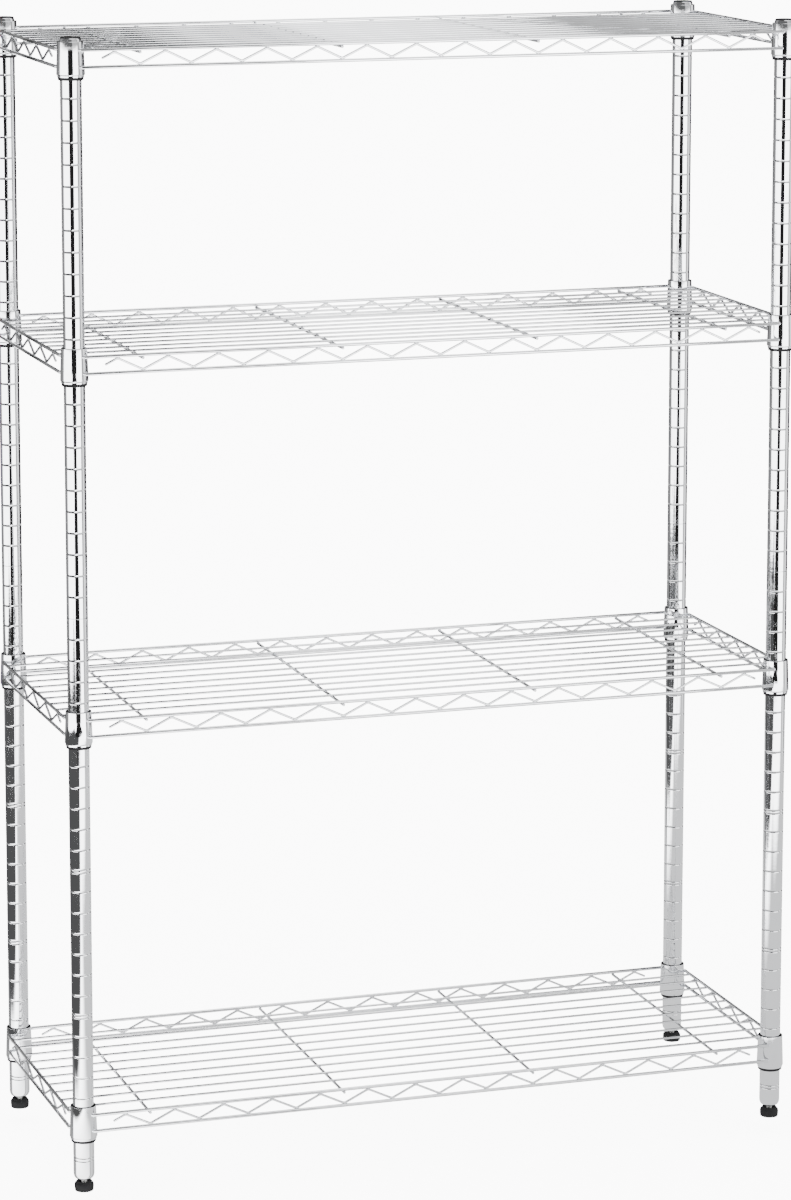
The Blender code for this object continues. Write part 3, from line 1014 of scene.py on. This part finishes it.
@dataclass(frozen=True)
class Card:
    """A soft-edged panel that shows only in reflections, as a flag or a reflector does in a studio."""

    name: str
    size: Spot
    place: tuple[float, float, float]
    level: float
    soft: float = 0.15
    tilt: float = 0.0
    turn: float = 0.0

    def material(self) -> bpy.types.Material:
        """Returns the card's glow, which fades out to nothing at its edges."""
        material = bpy.data.materials.new(self.name)
        material.use_nodes = True
        sheet = NodeSheet(material.node_tree)
        spot = sheet.add("SeparateXYZ", {0: sheet.add("TexCoord").outputs["Object"]})
        masks = []
        for axis, length in enumerate(self.size):
            inward = sheet.maths("SUBTRACT", length / 2, sheet.maths("ABSOLUTE", spot.outputs[axis]))
            fade = sheet.add(
                "MapRange", {0: inward, 1: 0.0, 2: self.soft, 4: 1.0}, interpolation_type="SMOOTHSTEP"
            )
            masks.append(fade.outputs[0])
        mask = sheet.maths("MULTIPLY", *masks)
        glow = sheet.add("Emission", {"Color": (1, 1, 1, 1), "Strength": self.level})
        clear = sheet.add("BsdfTransparent")
        mixed = sheet.add("MixShader", {0: mask, 1: clear.outputs[0], 2: glow.outputs[0]})
        output = next(node for node in material.node_tree.nodes if node.type == "OUTPUT_MATERIAL")
        sheet.tree.links.new(mixed.outputs[0], output.inputs["Surface"])
        return material

    def build(self) -> None:
        """Hangs the card where only the rack's own surfaces see it."""
        half, rise = self.size[0] / 2, self.size[1] / 2
        corners = [(-half, -rise, 0), (half, -rise, 0), (half, rise, 0), (-half, rise, 0)]
        card = stage_plane(self.name, corners, self.material())
        card.location = self.place
        card.rotation_euler = (math.radians(self.tilt), 0.0, math.radians(self.turn))
        card.visible_camera = False
        card.visible_diffuse = False
        card.visible_shadow = False


def stage_plane(
    name: str,
    corners: Sequence[Sequence[float]],
    material: bpy.types.Material,
) -> bpy.types.Object:
    """Makes a flat staged face.

    Args:
        name: Its name.
        corners: Its corner points in order.
        material: What it is dressed in.

    Returns:
        The staged object.
    """
    mesh = bpy.data.meshes.new(name)
    mesh.from_pydata([tuple(corner) for corner in corners], [], [tuple(range(len(corners)))])
    mesh.materials.append(material)
    item = bpy.data.objects.new(name, mesh)
    bpy.context.scene.collection.objects.link(item)
    return item


@dataclass
class Studio:
    """A white studio: a pale floor, even light, and surroundings that the chrome mirrors."""

    camera: Camera
    glow: float = 8.5
    room: float = 11.0
    fill: float = 4.6
    floor_lift: float = 6.7
    floor_half: float = 45.0
    floor_depth: float = 0.0175
    gap_reach: float = 5.6
    gap_height: float = 0.9
    runner_reach: float = 4.1
    runner_height: float = 0.006
    sky_rise: Spot = (2.0, 6.0)
    sky_side: Spot = (24.0, 18.0)
    sky_left: Spot = (-96.0, -90.0)
    sky_right: Spot = (72.0, 66.0)
    sky_levels: Spot = (0.1, 0.02)
    softbox_rise: Spot = (48.0, 58.0)
    softbox_side: Spot = (-0.2, 0.02)
    softbox_level: float = 0.45
    round_about: tuple[tuple[float, float], ...] = (
        (-180.0, 0.03),
        (-148.5, 0.03),
        (-146.5, 0.004),
        (-138.0, 0.004),
        (-135.0, 0.03),
        (-128.0, 0.04),
        (-92.0, 0.05),
        (-88.0, 1.0),
        (66.0, 1.0),
        (69.0, 0.06),
        (84.0, 0.09),
        (90.0, 0.25),
        (108.0, 0.22),
        (114.0, 0.01),
        (180.0, 0.008),
    )

    def build(self) -> None:
        """Makes the surroundings, the floor and the cards."""
        self.surroundings()
        self.floor()
        for card in self.cards():
            card.build()

    def surroundings(self) -> None:
        """Makes the world: plain light for all but mirrors, which see a lit front and a dark back."""
        world = bpy.data.worlds.new("studio")
        bpy.context.scene.world = world
        world.use_nodes = True
        sheet = NodeSheet(world.node_tree)
        backdrop = world.node_tree.nodes["Background"]
        facing = sheet.add("TexCoord").outputs["Generated"]
        turned = sheet.add(
            "VectorRotate",
            {"Vector": facing, "Axis": (0, 0, 1), "Angle": math.radians(self.camera.turn)},
            rotation_type="AXIS_ANGLE",
        )
        parts = sheet.add("SeparateXYZ", {0: turned.outputs[0]})
        front = sheet.maths("MULTIPLY", parts.outputs[1], -1.0)
        angle = sheet.maths("ARCTAN2", parts.outputs[0], front)
        share = sheet.add("MapRange", {0: angle, 1: -math.pi, 2: math.pi})
        ramp = sheet.add("ValToRGB", {0: share.outputs[0]})
        stops = ramp.color_ramp.elements
        for _ in self.round_about[2:]:
            stops.new(0.5)
        for stop, (degrees, level) in zip(stops, self.round_about):
            stop.position = (degrees + 180.0) / 360.0
            stop.color = (level, level, level, 1.0)
        height = sheet.maths("ARCSINE", parts.outputs[2])
        above = self.passed(sheet, height, self.sky_rise)
        beside = self.passed(sheet, angle, self.sky_side)
        dimmed = sheet.span(beside, *self.sky_levels)
        leftmost = self.passed(sheet, angle, self.sky_left)
        rightmost = self.passed(sheet, angle, self.sky_right)
        forward = sheet.maths("MULTIPLY", leftmost, rightmost)
        upper = sheet.maths("MULTIPLY", above, forward)
        shade = sheet.add("Mix", {0: upper, 2: 1.0, 3: dimmed}, data_type="FLOAT").outputs[0]
        sky = sheet.maths("MULTIPLY", ramp.outputs[0], shade)
        start, end = self.softbox_side
        rightward = sheet.add("MapRange", {0: parts.outputs[0], 1: start, 2: end}).outputs[0]
        overhead = self.passed(sheet, height, self.softbox_rise)
        softbox = sheet.maths("MULTIPLY", overhead, rightward)
        bright = sheet.add("Mix", {0: softbox, 2: sky, 3: self.softbox_level}, data_type="FLOAT")
        level = bright.outputs[0]
        lit = sheet.maths("MULTIPLY", level, self.glow)
        path = sheet.add("LightPath")
        mirrored = sheet.add("Mix", {0: path.outputs["Is Glossy Ray"], 2: self.fill, 3: lit}, data_type="FLOAT")
        shown = sheet.add(
            "Mix",
            {0: path.outputs["Is Camera Ray"], 2: mirrored.outputs[0], 3: self.room},
            data_type="FLOAT",
        )
        sheet.tree.links.new(shown.outputs[0], backdrop.inputs["Strength"])
        backdrop.inputs["Color"].default_value = (1.0, 1.0, 1.0, 1.0)

    @staticmethod
    def passed(sheet: NodeSheet, angle: bpy.types.NodeSocket, span: Spot) -> bpy.types.NodeSocket:
        """Reads how far an angle has gone from one direction to another.

        Args:
            sheet: The world's nodes.
            angle: The angle, in radians.
            span: The two directions, in degrees.

        Returns:
            A value from 0 at the first direction to 1 at the second.
        """
        start, end = span
        return sheet.add("MapRange", {0: angle, 1: math.radians(start), 2: math.radians(end)}).outputs[0]

    def floor(self) -> None:
        """Lays the pale floor, which looks as bright as the room behind it."""
        material, sheet, shader, spot = start_material("floor_paint")
        clouds = sheet.add("TexNoise", {"Vector": spot, "Scale": 0.7, "Detail": 2.0}).outputs[0]
        paint = sheet.blend(clouds, (0.93, 0.93, 0.93), (0.91, 0.91, 0.91))
        sheet.tree.links.new(paint, shader.inputs["Base Color"])
        path = sheet.add("LightPath").outputs["Is Camera Ray"]
        sheet.tree.links.new(sheet.span(path, 0.0, self.floor_lift), shader.inputs["Emission Strength"])
        shader.inputs["Emission Color"].default_value = (1.0, 1.0, 1.0, 1.0)
        shader.inputs["Roughness"].default_value = 0.9
        shader.inputs["Specular IOR Level"].default_value = 0.0
        half = self.floor_half
        corners = [(-half, -half, 0), (half, -half, 0), (half, half, 0), (-half, half, 0)]
        floor = stage_plane("floor", corners, material)
        floor.location.z = -self.floor_depth
        floor.visible_glossy = False

    def toward_camera(self, distance: float, sideways: float = 0.0) -> Vector:
        """Finds a floor point between the rack and the camera, or behind the camera.

        Args:
            distance: How far it is from the rack toward the camera.
            sideways: How far it is to the camera's left.

        Returns:
            The point.
        """
        turn = math.radians(self.camera.turn)
        toward = Vector((-math.sin(turn), -math.cos(turn), 0))
        across = Vector((-math.cos(turn), math.sin(turn), 0))
        return toward * distance + across * sideways

    def cards(self) -> list[Card]:
        """Returns the cards, which paint reflections on the chrome: a dark gap behind the camera, and dark and
        grey patches over the floor that only reflections show.
        """
        turn = -self.camera.turn
        gap = self.toward_camera(self.gap_reach) + Vector((0, 0, self.gap_height))
        runner = self.toward_camera(self.runner_reach) + Vector((0, 0, self.runner_height))
        return [
            # Painted reflections: glowing cards seen only in the chrome, a dark slit behind the camera, a dark
            # strip toward it, dark floor at the left and grey floor at the right.
            Card("dark_gap", (4.4, 2.0), tuple(gap), 0.02, soft=0.15, tilt=90.0, turn=turn),
            Card("dark_runner", (2.9, 3.6), tuple(runner), 0.02, soft=0.25, turn=turn),
            Card("dark_floor", (2.5, 4.2), (-1.97, -0.3, 0.004), 0.11, soft=0.2),
            Card("grey_floor", (3.4, 4.0), (0.95, 0.2, 0.002), 1.25, soft=0.6),
        ]


def main() -> None:
    """Builds the camera, the studio and the rack."""
    logging.basicConfig(level=logging.INFO, format="%(name)s: %(message)s")
    camera = Camera()
    camera.build()
    Studio(camera).build()
    palette = Palette.mixed()
    Posts(palette).build()
    Feet(palette).build()
    Sleeves(palette).build()
    Shelves(palette).build()


if __name__ == "__main__":
    main()
